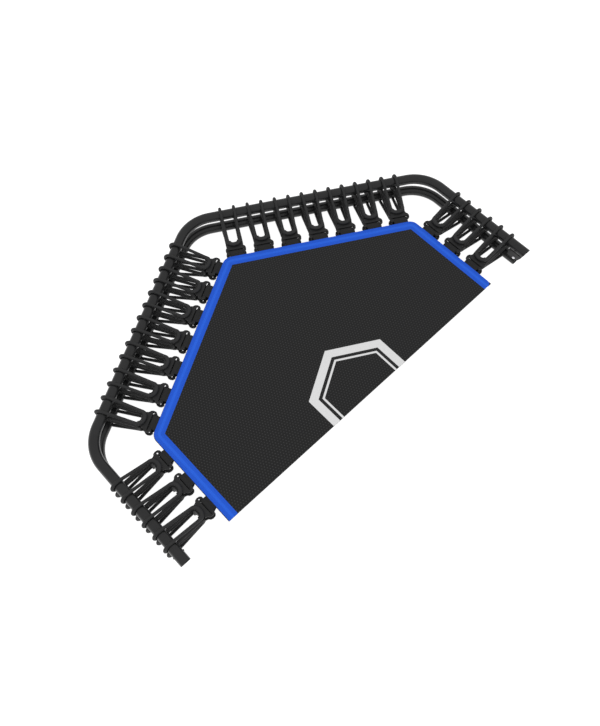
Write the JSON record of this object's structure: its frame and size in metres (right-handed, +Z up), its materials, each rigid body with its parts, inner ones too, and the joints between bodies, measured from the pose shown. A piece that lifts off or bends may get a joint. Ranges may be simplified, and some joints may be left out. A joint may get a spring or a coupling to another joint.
{
  "type": "fitness trampoline section",
  "caption": "Half-hexagon twin-tube frame with a jumping mat hung on bungee rings that hook on moulded buckles and wrap both tubes.",
  "frame": {"origin": "on the floor under the centre of the whole object's box", "axes": "+Z up, +X to the right along the open edge, +Y away from the open edge towards the far corner"},
  "size_m": [1.1544, 0.6654, 0.0888],
  "materials": {
    "powder_coated_steel": "satin black powder coat",
    "zinc_plated_steel": "bright zinc plate",
    "mat_fabric": "woven mesh, fine dots",
    "blue_tape": "ribbed woven tape",
    "bungee_cord": "braided cover over rubber",
    "black_plastic": "satin moulded",
    "black_webbing": "woven webbing"
  },
  "bodies": {
    "frame": {"upper_frame_tube": "powder_coated_steel", "lower_frame_tube": "powder_coated_steel", "end_gusset_right": "powder_coated_steel", "end_gusset_left": "powder_coated_steel", "gusset_bolt_right": "zinc_plated_steel", "gusset_bolt_left": "zinc_plated_steel", "cross_bolt_right": "powder_coated_steel", "cross_bolt_left": "powder_coated_steel", "bungee_ring_01": "bungee_cord", "bungee_ring_02": "bungee_cord", "bungee_ring_03": "bungee_cord", "bungee_ring_04": "bungee_cord", "bungee_ring_05": "bungee_cord", "bungee_ring_06": "bungee_cord", "bungee_ring_07": "bungee_cord", "bungee_ring_08": "bungee_cord", "bungee_ring_09": "bungee_cord", "bungee_ring_10": "bungee_cord", "bungee_ring_11": "bungee_cord", "bungee_ring_12": "bungee_cord", "bungee_ring_13": "bungee_cord", "bungee_ring_14": "bungee_cord", "bungee_ring_15": "bungee_cord", "bungee_ring_16": "bungee_cord", "bungee_ring_17": "bungee_cord", "bungee_ring_18": "bungee_cord", "bungee_ring_19": "bungee_cord", "bungee_ring_20": "bungee_cord"},
    "mat": {"jump_mat": "mat_fabric", "edge_binding": "blue_tape"},
    "hangers_right": {"webbing_right": "black_webbing", "buckle_01": "black_plastic", "buckle_02": "black_plastic", "buckle_03": "black_plastic"},
    "hangers_back_right": {"webbing_back_right": "black_webbing", "buckle_04": "black_plastic", "buckle_05": "black_plastic", "buckle_06": "black_plastic", "buckle_07": "black_plastic", "buckle_08": "black_plastic", "buckle_09": "black_plastic", "buckle_10": "black_plastic"},
    "hangers_back_left": {"webbing_back_left": "black_webbing", "buckle_11": "black_plastic", "buckle_12": "black_plastic", "buckle_13": "black_plastic", "buckle_14": "black_plastic", "buckle_15": "black_plastic", "buckle_16": "black_plastic", "buckle_17": "black_plastic"},
    "hangers_left": {"webbing_left": "black_webbing", "buckle_18": "black_plastic", "buckle_19": "black_plastic", "buckle_20": "black_plastic"}
  },
  "joints": [
    {"name": "mat_bounce", "type": "slide", "parent": "frame", "child": "mat", "axis": [0, 0, -1], "range_m": [0, 0.03], "stiffness_N_per_m": 6000, "springref_m": -0.005},
    {"name": "hanger_swing_right", "type": "hinge", "parent": "frame", "child": "hangers_right", "pos_m": [0.55651, -0.3082, 0.0444], "axis": [0, -1, 0], "range_deg": [0, 14.5], "deforming": ["bungee_ring_01", "bungee_ring_02", "bungee_ring_03"]},
    {"name": "hanger_swing_back_right", "type": "hinge", "parent": "frame", "child": "hangers_back_right", "pos_m": [0.27826, 0.17375, 0.0444], "axis": [0.866, -0.5, 0], "range_deg": [0, 14.5], "deforming": ["bungee_ring_04", "bungee_ring_05", "bungee_ring_06", "bungee_ring_07", "bungee_ring_08", "bungee_ring_09", "bungee_ring_10"]},
    {"name": "hanger_swing_back_left", "type": "hinge", "parent": "frame", "child": "hangers_back_left", "pos_m": [-0.27826, 0.17375, 0.0444], "axis": [0.866, 0.5, 0], "range_deg": [0, 14.5], "deforming": ["bungee_ring_11", "bungee_ring_12", "bungee_ring_13", "bungee_ring_14", "bungee_ring_15", "bungee_ring_16", "bungee_ring_17"]},
    {"name": "hanger_swing_left", "type": "hinge", "parent": "frame", "child": "hangers_left", "pos_m": [-0.55651, -0.3082, 0.0444], "axis": [0, 1, 0], "range_deg": [0, 14.5], "deforming": ["bungee_ring_18", "bungee_ring_19", "bungee_ring_20"]}
  ],
  "couplings": [
    {"joint": "hanger_swing_right", "follows": "mat_bounce", "rad_per_m": 8.0972},
    {"joint": "hanger_swing_back_right", "follows": "mat_bounce", "rad_per_m": 8.0972},
    {"joint": "hanger_swing_back_left", "follows": "mat_bounce", "rad_per_m": 8.0972},
    {"joint": "hanger_swing_left", "follows": "mat_bounce", "rad_per_m": 8.0972}
  ]
}
